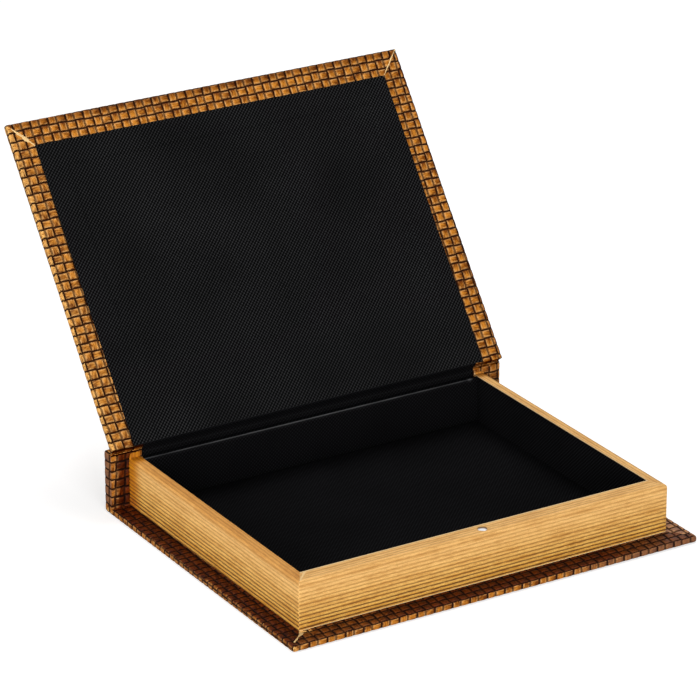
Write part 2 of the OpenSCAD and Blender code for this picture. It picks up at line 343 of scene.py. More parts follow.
def wovenPatch(patch, sheet):
    # a weave-aligned grid over part of the flat sheet, cut to its limits, folded into place and embossed
    (u0, u1), (v0, v1) = patch["u"], patch["v"]
    cornerA, cornerB = weaveAt(np.array([u0, u1, u0, u1]), np.array([v0, v0, v1, v1]), sheet)
    lines = patch.get("lines", weave["lines"])
    aLines = weaveLines(cornerA.min(), cornerA.max(), lines)
    bLines = weaveLines(cornerB.min(), cornerB.max(), lines)
    b, a = np.meshgrid(bLines, aLines)
    u, v = sheetAt(a.ravel(), b.ravel(), sheet)
    low, high = patch["uLimit"](np.clip(v, v0, v1)) if "uLimit" in patch else (u0, u1)
    u = np.clip(u, np.maximum(low, u0), np.minimum(high, u1))
    low, high = patch["vLimit"](u) if "vLimit" in patch else (v0, v1)
    v = np.clip(v, np.maximum(low, v0), np.minimum(high, v1))
    a, b = weaveAt(u, v, sheet)
    faces = gridFaces(len(aLines), len(bLines))[:, ::-1]
    flat = np.stack([u, v], 1)[faces]
    across = flat[:, 2] - flat[:, 0]
    other = flat[:, 3] - flat[:, 1]
    area = np.abs(across[:, 0] * other[:, 1] - across[:, 1] * other[:, 0]) / 2
    faces = faces[area > weave["smallest"]]
    points = patch.get("place", sheet.get("place"))(u, v)
    depth = weaveDepth(a + sheet["turned"](u), b)
    relief = patch.get("relief", 1.0)
    if "box" in patch:
        # pulled tight over the boards' edges, the strands lie flatter there
        box = patch["box"](points) if callable(patch["box"]) else patch["box"]
        points, out = roundOff(points, *box, cover["round"])
        level = smooth(np.abs(out).max(1), 0.78, 0.999)
        depth = depth * (weave["edge"] + (1 - weave["edge"]) * level * relief)
    else:
        out = patch["out"](u, v)
        depth = depth * relief
    stainAndPaintedLight = patch.get("stainAndPaintedLight", 0)
    stainAndPaintedLight = stainAndPaintedLight(u, v) if callable(stainAndPaintedLight) else stainAndPaintedLight + 0 * u
    return points - out * depth[:, None], faces, np.stack([a + patch.get("turned", 0), b], 1), stainAndPaintedLight


def wovenPiece(name, patches, sheet, material, body=None, nodes=(), move=None):
    # patches of the sheet joined and welded into one skin
    made = [wovenPatch(patch, sheet) for patch in patches]
    starts = np.cumsum([0] + [len(part[0]) for part in made[:-1]])
    faces = np.concatenate([part[1] + start for part, start in zip(made, starts)])
    points, uv, stainAndPaintedLight = [np.concatenate([part[k] for part in made]) for k in (0, 2, 3)]
    if move:
        points = move(points)
    return makePiece(name, points, faces, uv, material, body, nodes, weave["weld"], stainAndPaintedLight)


leather = {
    # rim: the pale of worn edges and of painted highlights along the strands
    "rim": (0.94, 0.51, 0.18, 1),
    "light": (0.57, 0.21, 0.022, 1),
    "dark": (0.14, 0.033, 0.002, 1),
    "fringe": (0.10, 0.018, 0.001, 1),  # the stain that gathers beside the grooves
    "groove": (0.016, 0.0026, 0.0001, 1),
    "rubbedAndLit": (1.0, 0.60, 0.19, 1),  # the palest wear on the edges that are handled, and the painted highlight on the lid's left edge
    "paintedSheen": (0.42, 0.245, 0.17, 1),  # the grey brown of a painted sheen, the pale surround reflected
    "stainedAndShaded": (0.20, 0.085, 0.03, 1),  # what the wiped stain and painted shade leave of each colour where they lie thick
    "grooveEdge": (0.055, 0.155),  # where the groove's colour ends, in cells
    "litGap": 0.28,  # how much weaker every second groove's colour is, on the side where light falls: painted light
    "endCell": 23.6,  # how many cells out the side turn-ins start
    "rough": 0.55,
}


def leatherette(name, gloss, paintedSheen=0.0):
    g = Graph(name)
    a, b = g.sheet()
    cellA, cellB = a.op("FLOOR"), b.op("FLOOR")
    fa, fb = a - cellA - 0.5, b - cellB - 0.5
    odd = (cellA + cellB).op("FLOORED_MODULO", 2.0)
    across = fa * (1 - odd) + fb * odd
    along = fb * (1 - odd) + fa * odd
    # distance from the gaps beside this strand and past the end of it
    wobble = g.noise(g.vector(a * 3.0, b * 3.0)) - 0.5
    further = odd * (weave["beyond"] - weave["beside"])
    gapA = abs(abs(fa) - weave["beside"] - further)
    gapB = abs(abs(fb) - weave["beyond"] + further)
    gap = gapA.op("MINIMUM", gapB)
    # painted light across the relief, as if lit from one side: it is weaker in every second gap and darkens one
    # end of each strand;
    # the way turns about between the side turn-ins and the rest
    way = g.sum("GREATER_THAN", abs(a), leather["endCell"]) * 2 - 1
    litGap = g.step(fa * way * (1 - odd * 2), 0.0, -0.15) * leather["litGap"]
    grooveA, grooveB = [1 - g.step(one + wobble * 0.05, *leather["grooveEdge"]) for one in (gapA, gapB)]
    groove = (grooveA * (1 - litGap)).op("MAXIMUM", grooveB)
    tone = g.random(g.vector(cellA, cellB, odd))
    grain = g.noise(g.vector(across * 9.0, along * 1.8, tone * 40.0), 3.0, 0.65)
    mottle = g.noise(g.vector(a * 2.6, b * 2.6, tone * 9.0), 3.0, 0.6)
    cloud = g.noise(g.vector(a * 0.3, b * 0.3), 3.0, 0.55)
    shade = grain * 0.75 + mottle * 0.30 + tone * 0.12 + cloud * 0.15 + along * way * 0.22
    colour = g.blend(g.step(shade, 0.48, 0.82), leather["dark"], leather["light"])
    # painted highlight, with some wear: paler along the raised sides of each strand and at the end that faces the
    # light
    rimHighlight = g.step(along * way, 0.2, 0.44).op("MAXIMUM", g.step(abs(across), 0.16, 0.36))
    rimHighlight = rimHighlight * g.step(grain * 0.55 + mottle * 0.45, 0.40, 0.58)
    colour = g.blend(rimHighlight * 0.85, colour, leather["rim"])
    if paintedSheen:
        # painted sheen, the pale surround reflected: greyed at the base's right end, along its front edge towards
        # it, and on the spine's left edge
        x, y, z = g.apart(g.objectPlace())
        edge = coverFront * 0.001
        up = g.step(z, 0.004, 0.008)
        spineEdge = g.step(x, -0.1311, -0.1314) * up
        frontEdge = g.step(y, edge + 0.0006, edge + 0.0002) * g.step(x, 0.03, 0.12)
        sheenMask = (g.step(x, 0.08, 0.125) * (1 - up)).op("MAXIMUM", spineEdge).op("MAXIMUM", frontEdge)
        colour = g.blend(sheenMask * paintedSheen, colour, leather["paintedSheen"])
    fringe = 1 - g.step(gap + wobble * 0.10, 0.12, 0.24)
    colour = g.blend(fringe * 0.4, colour, leather["fringe"])
    colour = g.blend(groove * 0.98, colour, leather["groove"])
    # below 0 the stain is rubbed away, with the painted highlight of edges that face the light; from 0 to 1 it
    # darkens with stain and with painted shade beside the tray; past 1 it turns to the black of painted shade that
    # fills a fold
    stainAndPaintedLight = g.stainAndPaintedLight()
    wornAndLit = (-stainAndPaintedLight).op("MAXIMUM", 0.0) * g.step(grain, 0.35, 0.60) * (1 - groove)
    colour = g.blend(wornAndLit, colour, leather["rubbedAndLit"])
    colour = g.blend(stainAndPaintedLight.op("MINIMUM", 1.0).op("MAXIMUM", 0.0), colour, leather["stainedAndShaded"], "MULTIPLY")
    colour = g.blend((stainAndPaintedLight - 1).op("MAXIMUM", 0.0), colour, leather["groove"])
    return g.finish(colour, leather["rough"] + groove * 0.3 - grain * 0.12,
                    grain * 0.5 + mottle * 0.4 - groove * 1.8, 0.6, 0.00022, gloss)


lidLeather = leatherette("leatherette", 0.05)
caseLeather = leatherette("caseLeatherette", 0.08, 0.5)
jointLeather = leatherette("jointLeatherette", 0.0)
print("leatherette made")

# Lid: outer face, three edges and their turn-ins, laid out on the closed lid and swung open


def wrapped(past, thick):
    # how far out and how far down a sheet goes that runs past an edge: down the edge, then back underneath
    return np.minimum(past, 0) - np.maximum(past - thick, 0), np.clip(past, 0, thick)


def roundEnds(u, thick):
    # x, and how far down, of a sheet wrapped round both ends
    out, down = wrapped(np.abs(u) - coverHalf, thick)
    return np.where(u < 0, -1, 1) * (coverHalf + out), down


def lidPlace(u, v):
    x, side = roundEnds(u, coverT)
    out, front = wrapped(coverFront - v, coverT)
    return spots(x, coverFront - out, lidOut - side - front)


def lidPull(u, v):
    # mm the weave is pulled along and across: by the side turn-ins, then by the front one
    left, right = smooth(-u, coverHalf, coverHalf + coverT), smooth(u, coverHalf, coverHalf + coverT)
    front = smooth(-v, -coverFront, -coverFront + coverT) * (1 - left) * (1 - right)
    along = -(0.33 + 1.8 * smooth(v, 60, 95)) * left + (0.2 - 1.0 * smooth(v, 50, 95)) * right
    along = along + (0.32 - 0.5 * smooth(u, 40, 80)) * front
    across = (0.15 + 0.0072 * v) * left + (0.36 - 0.0012 * v) * right
    return along, across - (0.22 + 0.35 * smooth(u, 70, 110) - 0.9 * smooth(-u, 70, 105)) * front


lid = {
    # cell size along the spine and across it, where the weave starts, and the lines' slant against the
    # edges with its growth for each millimetre
    "sheet": {"pitch": (5.6914, 5.3761), "phase": (1.1436, 0.2597),
              "slant": ((-0.0244, -0.0000558), (-0.0075, -0.0000387)), "pull": lidPull, "place": lidPlace,
              # the left turn-in's strands swap places with those they cross
              "turned": lambda u: 1.0 * (u < -coverHalf - coverT + 0.001)},
    "mitre": 0.896,  # how far in from the side the mitre goes for each unit in from the front
    "shown": 19.0,  # how far in the turned-in leatherette is drawn, a little under the lining
}


def lidPatches():
    h, f, t, w, back = coverHalf, coverFront, coverT, lid["shown"], lidBack
    box = np.array([-h, f, lidIn]), np.array([h, cover["endless"], lidOut])

    def beside(v):
        inset = np.maximum(f - t - v, 0) * lid["mitre"]
        return -h + inset, h - inset

    def behind(u):
        return f + (np.abs(u) - h - t) / lid["mitre"], back

    def rubbedAndLit(u, v):
        # palest along the left edge: painted highlight where it faces the left light, and wear where the hand
        # opens the box
        return -0.08 - 0.5 * np.exp(-(np.maximum(-h - t - u, 0) / 2.2) ** 2)

    # painted shade along the right edge, which faces away from the light
    def shadedRight(u, v):
        return 1.7 * smooth(u, h + t + 1.3, h + t + 0.4)

    # painted shade on the turn-in next to the rounded front edge
    def shadedFront(u, v):
        return 0.5 * smooth(v, f - t - 4.5, f - t - 2.5)

    return [dict(patch, box=box) for patch in (
        {"u": (-h, h), "v": (f, back)},
        {"u": (-h - t, -h), "v": (f, back), "relief": 0, "stainAndPaintedLight": rubbedAndLit},
        {"u": (h, h + t), "v": (f, back), "relief": 0, "stainAndPaintedLight": shadedRight},
        {"u": (-h, h), "v": (f - t, f), "relief": 0},
        {"u": (-h, h), "v": (f - t - w, f - t), "uLimit": beside, "stainAndPaintedLight": shadedFront},
        {"u": (-h - t - w, -h - t), "v": (f, back), "vLimit": behind, "stainAndPaintedLight": rubbedAndLit, "turned": 1},
        {"u": (h + t, h + t + w), "v": (f, back), "vLimit": behind, "stainAndPaintedLight": shadedRight})]


wovenPiece("lidSkin", lidPatches(), lid["sheet"], lidLeather, "lid", ["lid_wrap"], swing)
print("lid skin made")

# Case: underside, spine, edges and turn-ins, all one sheet


def casePull(u, v):
    # mm the weave is pulled along: by the base's front turn-in, more further in, and by the spine's ends
    front = smooth(v, -coverFront, -coverFront + coverT) * smooth(coverHalf + 1 - np.abs(u), 0, 4)
    ends = smooth(-v, spineIn - 2, spineIn + 2)
    left, right = smooth(-u, coverHalf, coverHalf + spineT), smooth(u, coverHalf, coverHalf + spineT)
    left = left * (0.45 + 0.042 * (-v - spineOut - 8))
    return (0.05 + 0.45 * smooth(v, 112, 120)) * front + (2.6 * right - left) * ends, 0 * v


def casePlace(u, v):
    # under the base and round its edges, then up the spine, round its ends and in over its top
    x, side = roundEnds(u, coverT)
    out, front = wrapped(v + coverFront, coverT)
    base = spots(x, coverFront - out, side + front)
    x, side = roundEnds(u, spineT)
    up = -v - spineOut
    spine = spots(x, spineOut - side - np.maximum(up - lidOut, 0), np.minimum(up, lidOut))
    return np.where((v > -spineOut)[:, None], base, spine)


case = {
    "sheet": {"pitch": (5.6927, 5.37), "phase": (1.6363, 0.555),
              "slant": ((-0.0051, 0.0000766), (-0.0023, 0.0)), "pull": casePull, "place": casePlace,
              "turned": lambda u: 0 * u},
    "shown": 20.0,
    "overlap": 0.8,  # how far the base's turned-in edge and the spine's pass under each other
    "topShown": 7.2,  # how far the leatherette is drawn in over the spine's top
    "soakedAndShaded": {-1: 1.0, 1: 0.1},  # painted shade on the base's left and right turn-ins, cast by the tray's walls
}


def casePatches():
    h, f, t, w, over = coverHalf, coverFront, coverT, case["shown"], case["overlap"]
    mitre = (h - halfLen) / (trayFront - f)
    top = -spineOut - lidOut
    slab = np.array([-h, f, 0.0]), np.array([h, cover["endless"], t])
    whole = np.array([-h, f, 0.0]), np.array([h, spineOut, lidOut])

    def spine(points):
        low = np.zeros_like(points) + np.array([-h, spineIn, 0.0])
        low[points[:, 2] < t - over, 1] = -cover["endless"]
        return low, whole[1]

    def flapShade(u, v):
        # painted shade beside the tray's walls: on the left darker away from the spine's end and towards the base,
        # on the right much less
        inward = np.abs(u) - h - spineT
        left = np.clip(0.15 + 0.85 * smooth(inward, 3.6, 5.2) - 0.3 * smooth(inward, 11.0, 15.0)
                       + 0.5 * smooth(-v - spineOut, 16.0, 4.0), 0, 1.1)
        return np.where(u < 0, left, 0.3)

    def frontEdgeTone(u, v):
        # darker towards the right, and rubbed bare on the left corner
        return 0.15 + 0.5 * smooth(u, 20, 120) - 1.2 * np.exp(-((u + h) / 1.8) ** 2)

    def frontTurnShade(u, v):
        # painted shade in front of the tray's wall, darkest in the middle, with a few pale scraps along the tray's
        # foot next to the left corner
        y = 2 * f - t + v
        foot = smooth(y, trayFront - 4.0, trayFront - 2.4) * smooth(np.abs(u + 117.3), 4.4, 3.0)
        return 0.85 + 0.3 * smooth(np.abs(u - 10), 100, 30) - 1.75 * foot

    def spineEdgeShade(u, v):
        # painted shade on the spine's end, paler near its foot
        return 0.6 - 1.5 * smooth(v, -spineOut - 4.0, -spineOut - 1.5)

    def beside(v):
        return -h + (v + f - t) * mitre, h - (v + f - t) * mitre

    def behind(u):
        return -spineIn - over, -f - (np.abs(u) - h - t) / mitre

    patches = [
        {"u": (-h, h), "v": (-spineOut, -f), "box": whole, "lines": weave["coarseLines"]},
        {"u": (-h, h), "v": (-f, -f + t), "box": slab, "relief": 0, "stainAndPaintedLight": frontEdgeTone},
        {"u": (-h, h), "v": (-f + t, -f + t + w), "box": slab, "uLimit": beside, "stainAndPaintedLight": frontTurnShade},
        {"u": (-h, h), "v": (top, -spineOut), "box": whole},
        {"u": (-h, h), "v": (top - case["topShown"], top), "box": spine},
    ]
    for side in (-1, 1):
        # edge and turn-in of the base, then of the spine, at one end
        baseEdge, baseTurn, spineEdge, spineTurn = [
            sorted((side * (h + near), side * (h + near + reach)))
            for near, reach in ((0, t), (t, w), (0, spineT), (spineT, cover["endTurnIn"]))]
        patches += [
            {"u": baseEdge, "v": (-spineIn, -f), "box": slab, "relief": 0, "stainAndPaintedLight": 0.35},
            {"u": baseTurn, "v": (-spineIn - over, -f), "box": slab, "vLimit": behind,
             "stainAndPaintedLight": case["soakedAndShaded"][side]},
            {"u": spineEdge, "v": (top, -spineOut), "box": spine, "relief": 0.3, "stainAndPaintedLight": spineEdgeShade},
            {"u": spineTurn, "v": (-spineOut - clothHigh[2], -spineOut - t + over), "box": spine,
             "stainAndPaintedLight": flapShade},
        ]
    return patches


wovenPiece("caseSkin", casePatches(), case["sheet"], caseLeather, "case", ["base_wrap", "spine_wrap"])
print("case skin made")

# Joint: outer leatherette over the fold and its turned-in ends

fold = {
    "creaseDip": 0.5,  # how deep the leatherette tucks in at the crease
    "creaseWide": 0.8,  # how far that tuck spreads each way
    "innerDips": (0.5, 0.15),  # how deep it tucks in where it leaves the lid's board, and at the fold line
    "innerLate": (0.55, 0.35),  # how far past the bends those tucks lie
    "innerWide": 0.5,  # how far they spread each way
    "relief": 0.4,  # share of the weave's depth left on the inner strips
    "sideGap": {-1: 0.25, 1: 1.8},  # how far in from the covers' left and right ends the strips start
    "thick": 0.0003,  # drawn thickness, in metres
    # a direction across the fold and two distances from the fold line for the inner layers, which blendAcross
    # works out but does not use to turn them
    "turn": ((-0.31, 0.95), -1.0, 0.9),
}
foldPoint = np.array([foldY, foldZ])
leafWay = np.array([-np.cos(openAngle), np.sin(openAngle)])  # up the open leaf, as (y, z)


def blendAcross(piece, way, before, after):
    # works out two points at distances from the fold line along a direction in the (y, z) plane, which are not
    # used, then bakes the piece's placement into its mesh
    way = np.array(way) / np.linalg.norm(way)
    first, last = foldPoint + way * before, foldPoint + way * after
    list(first * 0.001)
    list(last * 0.001)
    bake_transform(piece)


def thicken(piece, thickness):
    layer = piece.modifiers.new("thickness", "SOLIDIFY")
    layer.thickness = thickness
    layer.offset = -1


def outerCrease(v):
    # closed-lid place y to the open pose: flat on the spine, a tucked crease, then straight up the leaf
    apex = foldPoint + np.array([(1 - np.cos(openAngle)) / np.sin(openAngle), 1]) * (lidOut - foldZ)
    hidden = apex[0] - foldY
    d = foldY - v
    onSpine, onLeaf, near = [np.clip(way - hidden, 0, None)[:, None] for way in (-d, d, np.abs(d))]
    tuck = fold["creaseDip"] * np.exp(-(near / fold["creaseWide"]) ** 2)
    inward = (foldPoint - apex) / np.linalg.norm(foldPoint - apex)
    return apex + onSpine * np.array([1.0, 0]) + onLeaf * leafWay + tuck * inward


def outerJoint():
    edge = coverHalf - 0.1

    def out(u, v):
        along = outerCrease(v + 0.05) - outerCrease(v - 0.05)
        along = along / np.maximum(np.linalg.norm(along, axis=1), 1e-9)[:, None]
        return spots(0, -along[:, 1], along[:, 0])

    patch = {"u": (-edge, edge - 1.6), "v": (lidBack - 0.05, foldY + 2.6), "lines": weave["fineLines"],
             "place": lambda u, v: np.column_stack([u, outerCrease(v)]), "out": out}
    skin = wovenPiece("jointSkin", [patch], lid["sheet"], jointLeather)
    thicken(skin, fold["thick"])
    blendAcross(skin, leafWay - np.array([1.0, 0]), -0.35, 0.4)


def easedPath(knots, ease):
    # lines from knot to knot in the (y, z) plane with their corners eased by a moving average: a function
    # that gives the place and the right-hand normal at a distance, and the knots' distances
    knots = np.array(knots)
    ends = np.concatenate([[0], np.cumsum(np.linalg.norm(np.diff(knots, axis=0), axis=1))])
    step = 0.02
    stops = np.arange(-ease, ends[-1] + ease, step)
    lines = [np.interp(stops, ends, knots[:, k]) for k in (0, 1)]
    first, last = knots[1] - knots[0], knots[-1] - knots[-2]
    before, after = np.clip(stops, None, 0), np.clip(stops - ends[-1], 0, None)
    lines = [line + before * (first / np.linalg.norm(first))[k] + after * (last / np.linalg.norm(last))[k]
             for k, line in enumerate(lines)]
    width = 2 * int(ease / step / 2) + 1
    eased = [np.convolve(line, np.full(width, 1 / width), "same") for line in lines]

    def at(s):
        place, ahead, behind = [np.stack([np.interp(s + off, stops, line) for line in eased], 1)
                                for off in (0, 0.05, -0.05)]
        along = ahead - behind
        along = along / np.linalg.norm(along, axis=1)[:, None]
        return place, np.stack([along[:, 1], -along[:, 0]], 1)

    return at, ends


def swungKnot(y, z):
    return swing(np.array([[0.0, y, z]]))[0, 1:]


def innerJoint():
    # turned-in leatherette at both ends, beside the cloth: off the lid's board to the fold line, tucked in
    # there, and down on to the spine
    start, riser = lidBack - 0.5, clothHigh[2]
    at, ends = easedPath([swungKnot(start, lidIn), swungKnot(lidBack + cover["lip"], lidIn),
                          (spineIn - 0.1, foldZ - 0.1), (spineIn, riser),
                          (spineIn + 0.15, riser - 0.6)], 0.7)
    tucks = ends[1:3] + np.array(fold["innerLate"])

    def place(u, v, side):
        s = v - start
        path, normal = at(s)
        tuck = sum(dip * np.exp(-((s - tuckAt) / fold["innerWide"]) ** 2)
                   for tuckAt, dip in zip(tucks, fold["innerDips"]))
        return np.column_stack([side * (2 * coverHalf + coverT) - u, path - normal * tuck[:, None]])

    def stainAndPaintedLight(u, v):
        # painted shade: black in the two tucks, of which the second runs out to the right; on the left brown
        # between
        s = v - start
        first, second = [smooth(np.abs(s - tuckAt), 1.25, 0.5) for tuckAt in tucks]
        second = second * np.where(u < 0, smooth(-u - coverHalf - coverT, 13, 7), 0.4)
        past = smooth(s, ends[1] - 0.5, ends[1] - 0.1)
        return (np.where(u < 0, 0.75, 0.2) + 1.3 * np.maximum(first, second)) * past

    for name, side in (("leftJointEnd", -1), ("rightJointEnd", 1)):
        reach = [side * (coverHalf + coverT + off) for off in (cover["endTurnIn"], fold["sideGap"][side])]
        patch = {"u": sorted(reach), "v": (start, start + ends[-1]), "lines": weave["fineLines"],
                 "place": lambda u, v, side=side: place(u, v, side), "relief": fold["relief"], "stainAndPaintedLight": stainAndPaintedLight,
                 "out": lambda u, v: np.column_stack([0 * u, at(v - start)[1]])}
        strip = wovenPiece(name, [patch], lid["sheet"], jointLeather)
        thicken(strip, fold["thick"])
        blendAcross(strip, *fold["turn"])


outerJoint()
innerJoint()
print("joint made")

# Seams: the bare cut edges that show where the turned-in leatherette meets at the mitres

seams = {
    # start and end on the cover, and the width at the start, in the middle and at the end
    "lidLeftSeam": {"ends": ((-129.2, -102.4), (-117.2, -89.1)), "wide": (0.5, 2.5, 0.8)},
    "lidRightSeam": {"ends": ((131.5, -105.05), (117.7, -89.65)), "wide": (0.4, 1.0, 0.5)},
    "baseSeam": {"ends": ((-128.8, -101.2), (-119.2, -93.4)), "wide": (1.0, 0.9, 2.2)},
    "traySeam": {"ends": ((-110.2, -81.6), (-118.2, -89.9)), "wide": (2.3, 1.7, 1.3)},
    "proud": 0.12,  # how far a seam stands off the leatherette's crowns
    "sunk": 0.25,  # how far its sides go down into them
    "rows": 60,
    "columns": 7,
}


def plainBoard(name, light, dark, scale):
    g = Graph(name)
    fibre = g.noise(g.objectPlace(), 5.0, 0.7, scale)
    return g.finish(g.blend(fibre, dark, light), 0.85, fibre, 0.3, 0.0002)


def mitreSeam(name, z, up, body, move=None):
    # a low ridge along a mitre, whose width eases between its start, middle and end, and whose edges waver
    start, end = np.array(seams[name]["ends"])
    first, middle, last = seams[name]["wide"]
    t, w = flatGrid(np.linspace(0, 1, seams["rows"]), np.linspace(-1, 1, seams["columns"]))
    wide = np.where(t < 0.5, first + (middle - first) * smooth(t, 0, 0.5),
                    last + (middle - last) * smooth(t, 1, 0.5))
    waver = 1 + 0.15 * np.sin(t * 61 + w * 2) + 0.1 * np.sin(t * 23)
    wide = wide * np.where((t < 0.02) | (t > 0.98), 0.2, waver)
    way = end - start
    length = np.hypot(*way)
    crown = (1 - w ** 2) * (seams["proud"] + seams["sunk"]) - seams["sunk"]
    off = wide * w / 2 / length
    points = spots(start[0] + way[0] * t - way[1] * off, start[1] + way[1] * t + way[0] * off, z + up * crown)
    if move:
        points = move(points)
    faces = gridFaces(seams["rows"], seams["columns"])[:, ::-up]
    makePiece(name, points, faces, np.stack([t * length, w], 1), cutEdge, body, ())


cutEdge = plainBoard("cutEdge", (0.90, 0.64, 0.30, 1), (0.64, 0.39, 0.14, 1), 700.0)
mitreSeam("lidLeftSeam", lidIn, -1, "lid", swing)
mitreSeam("lidRightSeam", lidIn, -1, "lid", swing)
mitreSeam("baseSeam", coverT, 1, "case")
mitreSeam("traySeam", trayTop, 1, "case")
print("seams made")

# Black cloth: plain-woven linings

cloth = {
    "thread": 1.155,  # spacing of the threads
    "round": 0.15,
    "thick": 0.4,
    "drawn": 0.00035,  # drawn thickness of the folded cloths, in metres
    "spacing": 3.0,  # of the grid on the flat linings
    "step": 0.38,  # how far the lid's lining sinks from the turned-in leatherette to the card
    "turnIn": 30.0,  # where the lining steps down, in from the lid's edges
    "frontMargin": 15.4,  # leatherette left showing in front of the lid's lining
    "share": 1.6,  # how far on to the back wall the fold's cloth goes, where the hinge cloth takes over
}


def blackCloth(name, light, wornAndLit, gloss):
    g = Graph(name)
    u, v = g.sheet()
    along, across = u / cloth["thread"], v / cloth["thread"]
    # plain weave: crowns where a thread passes over, so that they line up along both diagonals, one more
    # than the other because the threads are twisted
    rising, falling = [(way * np.pi).op("COSINE") for way in (along + across, along - across)]
    crossing = rising * 0.59 + falling * 0.41
    slub = g.noise(g.vector(along * 0.35, across * 2.5), 3.0)
    fuzz = g.noise(g.vector(u * 2.2, v * 2.2), 4.0, 0.7)
    crown = g.step(crossing, -0.3, 0.95)
    patchy = g.noise(g.vector(u * 0.016 + 3.7, v * 0.016))
    shade = crown * (0.55 + slub * 0.5) * (0.4 + patchy * 1.2) + fuzz * 0.08
    colour = g.blend(shade.op("MINIMUM", 1.0), (0.0, 0.0, 0.0, 1), light)
    # wear, and painted highlights where the cloth turns over edges
    colour = g.blend((g.stainAndPaintedLight() * (0.55 + fuzz)).op("MINIMUM", 1.0), colour, wornAndLit)
    return g.finish(colour, 0.78 - crown * 0.1, crown * 0.8 + slub * 0.25 + fuzz * 0.12, 0.8, 0.00016, gloss)


lidCloth = blackCloth("lidCloth", (0.0285, 0.0285, 0.030, 1), (0.05, 0.05, 0.052, 1), 0.015)
# the tray's cloth is the lid's black cloth painted darker for the shade inside the tray; its worn colour also
# carries painted highlights
shadedTrayCloth = blackCloth("shadedTrayCloth", (0.014, 0.014, 0.0155, 1), (0.085, 0.085, 0.087, 1), 0.01)


def clothSheet(name, points, normals, lines, uv, body, nodes, flat, wear=None,
               material=shadedTrayCloth):
    # a sheet on a grid of lines, its quads facing along the normals
    faces = gridFaces(*[len(line) for line in lines])
    corner = points[faces[:, 0]]
    sense = np.cross(points[faces[:, 1]] - corner, points[faces[:, 3]] - corner)
    if (sense * normals[faces[:, 0]]).sum() < 0:
        faces = faces[:, ::-1]
    piece = makePiece(name, points, faces, uv, material, body, nodes, weld=0.01, stainAndPaintedLight=wear)
    flat[0] * 0.001
    flat[1] * 0.001
    return piece


def laidLining(name, node, axis, facing):
    # a lining laid on a flat board: the exposed face and its four thin edges, from the node's own box
    low, high = corners(node)
    size = high - low
    across, up = [k for k in range(3) if k != axis]

    def lines(k):
        inner = np.linspace(low[k], high[k], max(int(size[k] / cloth["spacing"]), 2) + 1)
        edge = cloth["round"] * np.array([0, 0.3, 1.0])
        return np.concatenate([[low[k] - size[axis], low[k] - cloth["round"]], low[k] + edge, inner[1:-1],
                               high[k] - edge[::-1], [high[k] + cloth["round"], high[k] + size[axis]]])

    grid = lines(across), lines(up)
    p, q = flatGrid(*grid)
    past = [low[across] - p, p - high[across], low[up] - q, q - high[up]]
    over = np.clip(np.max(past, axis=0), 0, None)
    points = np.zeros((p.size, 3))
    points[:, across] = np.clip(p, low[across], high[across])
    points[:, up] = np.clip(q, low[up], high[up])
    points[:, axis] = (high if facing > 0 else low)[axis] - facing * over
    # only the edges round the exposed face are rounded: the far face is moved out of reach
    (low if facing > 0 else high)[axis] -= facing * 5
    points, out = roundOff(points, low, high, cloth["round"])
    inside = over == 0
    wave = 0.04 * np.sin(p / 9.0 + 1.3) * np.sin(q / 7.0)
    points[inside, axis] -= facing * (wave[inside] + 0.04)
    return clothSheet(name, points, out, grid, np.stack([p, q], 1), "case", [node],
                      (size[across], size[up]))


def lidPanel():
    # the lid's lining, on the closed lid, then swung open
    inset, frontLine = coverHalf - cloth["turnIn"], coverFront + cloth["turnIn"]
    low = np.array([panelLow[0], coverFront + cloth["frontMargin"], lidIn - cloth["thick"]])
    high = np.array([panelHigh[0], lidBack - 0.2, lidIn])
    edge = np.array([-0.4, -0.15, 0, 0.05, 0.15])
    stepDown = np.array([-1.2, -0.7, -0.4, -0.1, 0.2, 0.7, 1.2])
    left = np.concatenate([low[0] + edge, np.arange(low[0] + 3, -inset - 3, 3), -inset + stepDown,
                           np.arange(-inset + 4, -4, 4)])
    xs = np.concatenate([left, [0], -left[::-1]])
    ys = np.concatenate([low[1] + edge, np.arange(low[1] + 3, frontLine - 3, 3), frontLine + stepDown,
                         np.arange(frontLine + 4, high[1] - 2, 4), [high[1] - 0.15, high[1]]])
    x, y = flatGrid(xs, ys)
    over = np.clip(np.maximum(np.abs(x) - high[0], low[1] - y), 0, None)
    sink = cloth["step"] * smooth(np.minimum(inset - np.abs(x), y - frontLine), -0.45, 0.45)
    ripple = 0.05 * np.sin(x / 17 + 0.6) * np.sin(y / 13) + 0.03 * np.sin(x / 5 + y / 41)
    points = spots(np.clip(x, low[0], high[0]), np.clip(y, low[1], high[1]),
                   low[2] + over + np.where(over > 0, 0, sink + ripple * 0.5 + 0.03))
    opened = swing(points)
    normals = swing(points + np.array([0.0, 0, -1])) - opened
    return clothSheet("lidLining", opened, normals, (xs, ys), np.stack([x, y], 1), "lid", ["lid_lining"],
                      high - low, material=lidCloth)


def runGrid(name, half, knots, ease, body, nodes, wornAndLit):
    # cloth of constant section along x, following an eased line through knots in the (y, z) plane
    at, ends = easedPath(knots, ease)
    s = np.unique(np.round(np.concatenate([np.arange(0, ends[-1], 2.0), [ends[-1]]]
                                          + [end + np.linspace(-0.8, 0.8, 11) for end in ends[1:-1]]), 3))
    path, normal = at(s)
    lines = np.linspace(-half, half, 241), s
    x, s = flatGrid(*lines)
    points, normals = [spots(along, *[np.tile(row, len(lines[0])) for row in side.T])
                       for along, side in ((x, path), (0, normal))]
    piece = clothSheet(name, points, normals, lines, np.stack([x, s], 1), body, nodes, (2 * half, ends[-1]),
                       wear=wornAndLit(x, s, ends))
    thicken(piece, cloth["drawn"])
    return piece


